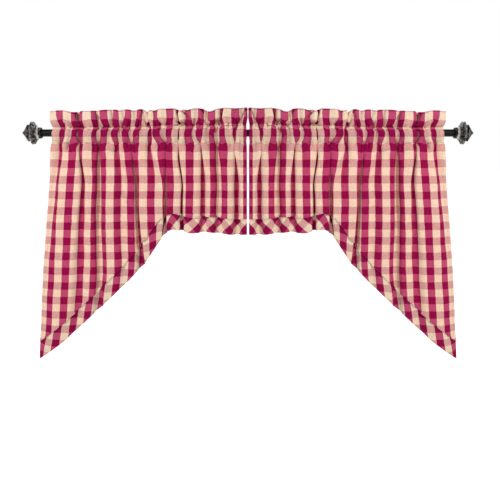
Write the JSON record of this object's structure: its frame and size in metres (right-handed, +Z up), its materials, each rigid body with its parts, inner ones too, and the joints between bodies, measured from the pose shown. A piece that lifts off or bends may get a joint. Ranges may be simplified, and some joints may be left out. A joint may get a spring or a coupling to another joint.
{
  "type": "swag window valance pair on a curtain rod",
  "caption": "Gathered check valance panels, short at the middle and slanting to long outer corners with a bias band, on a plain round rod with faceted end knobs.",
  "frame": {"origin": "on the rod's axis, halfway along it, which is where the pair hangs from its brackets", "axes": "+X along the rod to the right as seen from the room, +Y to the wall behind, +Z up"},
  "size_m": [1.5652, 0.077, 0.9145],
  "materials": {
    "cloth": "plain-weave cotton, yarn-dyed in a large wine and cream check",
    "band": "the same cotton, cut on the bias",
    "rod": "near-black satin enamel",
    "finial": "dark casting with rubbed antique-silver edges"
  },
  "bodies": {
    "root": {"rod": "rod", "finial_left": "finial", "finial_right": "finial", "panel_left": "cloth", "panel_right": "cloth", "band_left": "band", "band_right": "band"}
  },
  "joints": []
}
